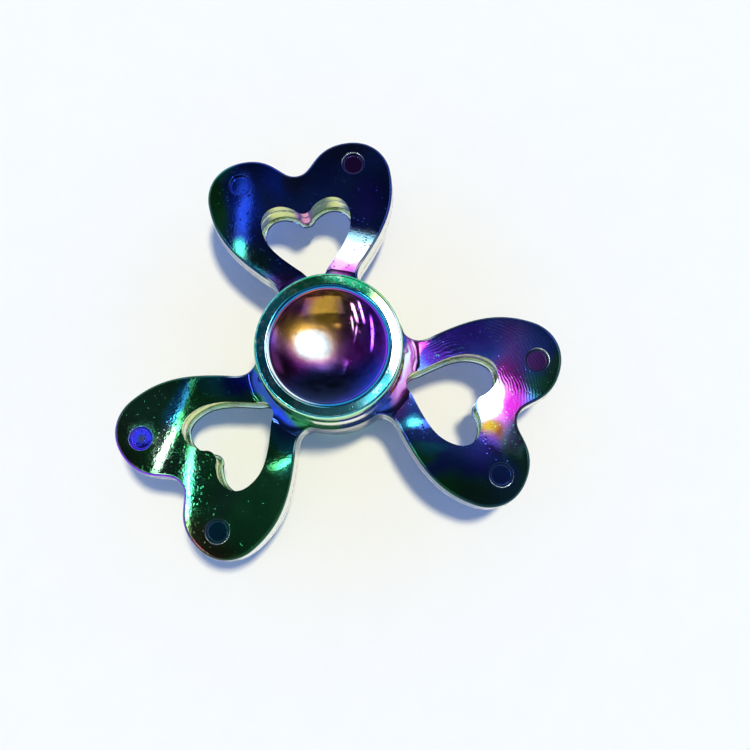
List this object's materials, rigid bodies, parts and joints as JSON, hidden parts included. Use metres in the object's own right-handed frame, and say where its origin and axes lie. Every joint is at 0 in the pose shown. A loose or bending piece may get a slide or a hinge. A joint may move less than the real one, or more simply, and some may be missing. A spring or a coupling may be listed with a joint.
{
  "type": "fidget spinner",
  "caption": "Finger spinner with heart-shaped arms round a ball-bearing hub, held between two dished finger caps, in polished rainbow-coated metal.",
  "frame": {"origin": "centre of the bearing, on the spin axis at mid height", "axes": "+Z along the spin axis towards the upper finger cap, +Y along one of the arms"},
  "size_m": [0.0634, 0.0565, 0.0178],
  "materials": {
    "rainbow_body": "polished cast zinc under a glossy rainbow vapour coat",
    "rainbow_cap": "turned and polished metal under a glossy rainbow vapour coat",
    "ground_steel": "ground and polished bearing steel",
    "cage_steel": "satin",
    "ball_steel": "mirror-polished",
    "shield_steel": "pressed sheet steel, satin",
    "spring_steel": "dark sprung wire"
  },
  "bodies": {
    "finger_caps": {"top_finger_cap": "rainbow_cap", "bottom_finger_cap": "rainbow_cap", "bearing_inner_ring": "ground_steel"},
    "rotor": {"spinner_body": "rainbow_body", "bearing_outer_ring": "ground_steel", "bearing_shield_top": "shield_steel", "bearing_shield_bottom": "shield_steel", "shield_snap_ring_top": "spring_steel", "shield_snap_ring_bottom": "spring_steel"},
    "cage": {"ball_cage": "cage_steel"},
    "rolling_ball_01": {"ball_01": "ball_steel"},
    "rolling_ball_02": {"ball_02": "ball_steel"},
    "rolling_ball_03": {"ball_03": "ball_steel"},
    "rolling_ball_04": {"ball_04": "ball_steel"},
    "rolling_ball_05": {"ball_05": "ball_steel"},
    "rolling_ball_06": {"ball_06": "ball_steel"},
    "rolling_ball_07": {"ball_07": "ball_steel"},
    "rolling_ball_08": {"ball_08": "ball_steel"},
    "rolling_ball_09": {"ball_09": "ball_steel"},
    "rolling_ball_10": {"ball_10": "ball_steel"}
  },
  "joints": [
    {"name": "body_spin", "type": "hinge", "parent": "finger_caps", "child": "rotor", "pos_m": [0, 0, 0], "axis": [0, 0, 1], "continuous": true},
    {"name": "cage_spin", "type": "hinge", "parent": "finger_caps", "child": "cage", "pos_m": [0, 0, 0], "axis": [0, 0, 1], "continuous": true},
    {"name": "ball_spin_01", "type": "hinge", "parent": "cage", "child": "rolling_ball_01", "pos_m": [0.00476, 0, 0], "axis": [0, 0, 1], "continuous": true},
    {"name": "ball_spin_02", "type": "hinge", "parent": "cage", "child": "rolling_ball_02", "pos_m": [0.00385, 0.0028, 0], "axis": [0, 0, 1], "continuous": true},
    {"name": "ball_spin_03", "type": "hinge", "parent": "cage", "child": "rolling_ball_03", "pos_m": [0.00147, 0.00453, 0], "axis": [0, 0, 1], "continuous": true},
    {"name": "ball_spin_04", "type": "hinge", "parent": "cage", "child": "rolling_ball_04", "pos_m": [-0.00147, 0.00453, 0], "axis": [0, 0, 1], "continuous": true},
    {"name": "ball_spin_05", "type": "hinge", "parent": "cage", "child": "rolling_ball_05", "pos_m": [-0.00385, 0.0028, 0], "axis": [0, 0, 1], "continuous": true},
    {"name": "ball_spin_06", "type": "hinge", "parent": "cage", "child": "rolling_ball_06", "pos_m": [-0.00476, 0, 0], "axis": [0, 0, 1], "continuous": true},
    {"name": "ball_spin_07", "type": "hinge", "parent": "cage", "child": "rolling_ball_07", "pos_m": [-0.00385, -0.0028, 0], "axis": [0, 0, 1], "continuous": true},
    {"name": "ball_spin_08", "type": "hinge", "parent": "cage", "child": "rolling_ball_08", "pos_m": [-0.00147, -0.00453, 0], "axis": [0, 0, 1], "continuous": true},
    {"name": "ball_spin_09", "type": "hinge", "parent": "cage", "child": "rolling_ball_09", "pos_m": [0.00147, -0.00453, 0], "axis": [0, 0, 1], "continuous": true},
    {"name": "ball_spin_10", "type": "hinge", "parent": "cage", "child": "rolling_ball_10", "pos_m": [0.00385, -0.0028, 0], "axis": [0, 0, 1], "continuous": true}
  ],
  "couplings": [
    {"joint": "cage_spin", "follows": "body_spin", "ratio": 0.58333},
    {"joint": "ball_spin_01", "follows": "body_spin", "ratio": 2.9167},
    {"joint": "ball_spin_02", "follows": "body_spin", "ratio": 2.9167},
    {"joint": "ball_spin_03", "follows": "body_spin", "ratio": 2.9167},
    {"joint": "ball_spin_04", "follows": "body_spin", "ratio": 2.9167},
    {"joint": "ball_spin_05", "follows": "body_spin", "ratio": 2.9167},
    {"joint": "ball_spin_06", "follows": "body_spin", "ratio": 2.9167},
    {"joint": "ball_spin_07", "follows": "body_spin", "ratio": 2.9167},
    {"joint": "ball_spin_08", "follows": "body_spin", "ratio": 2.9167},
    {"joint": "ball_spin_09", "follows": "body_spin", "ratio": 2.9167},
    {"joint": "ball_spin_10", "follows": "body_spin", "ratio": 2.9167}
  ]
}
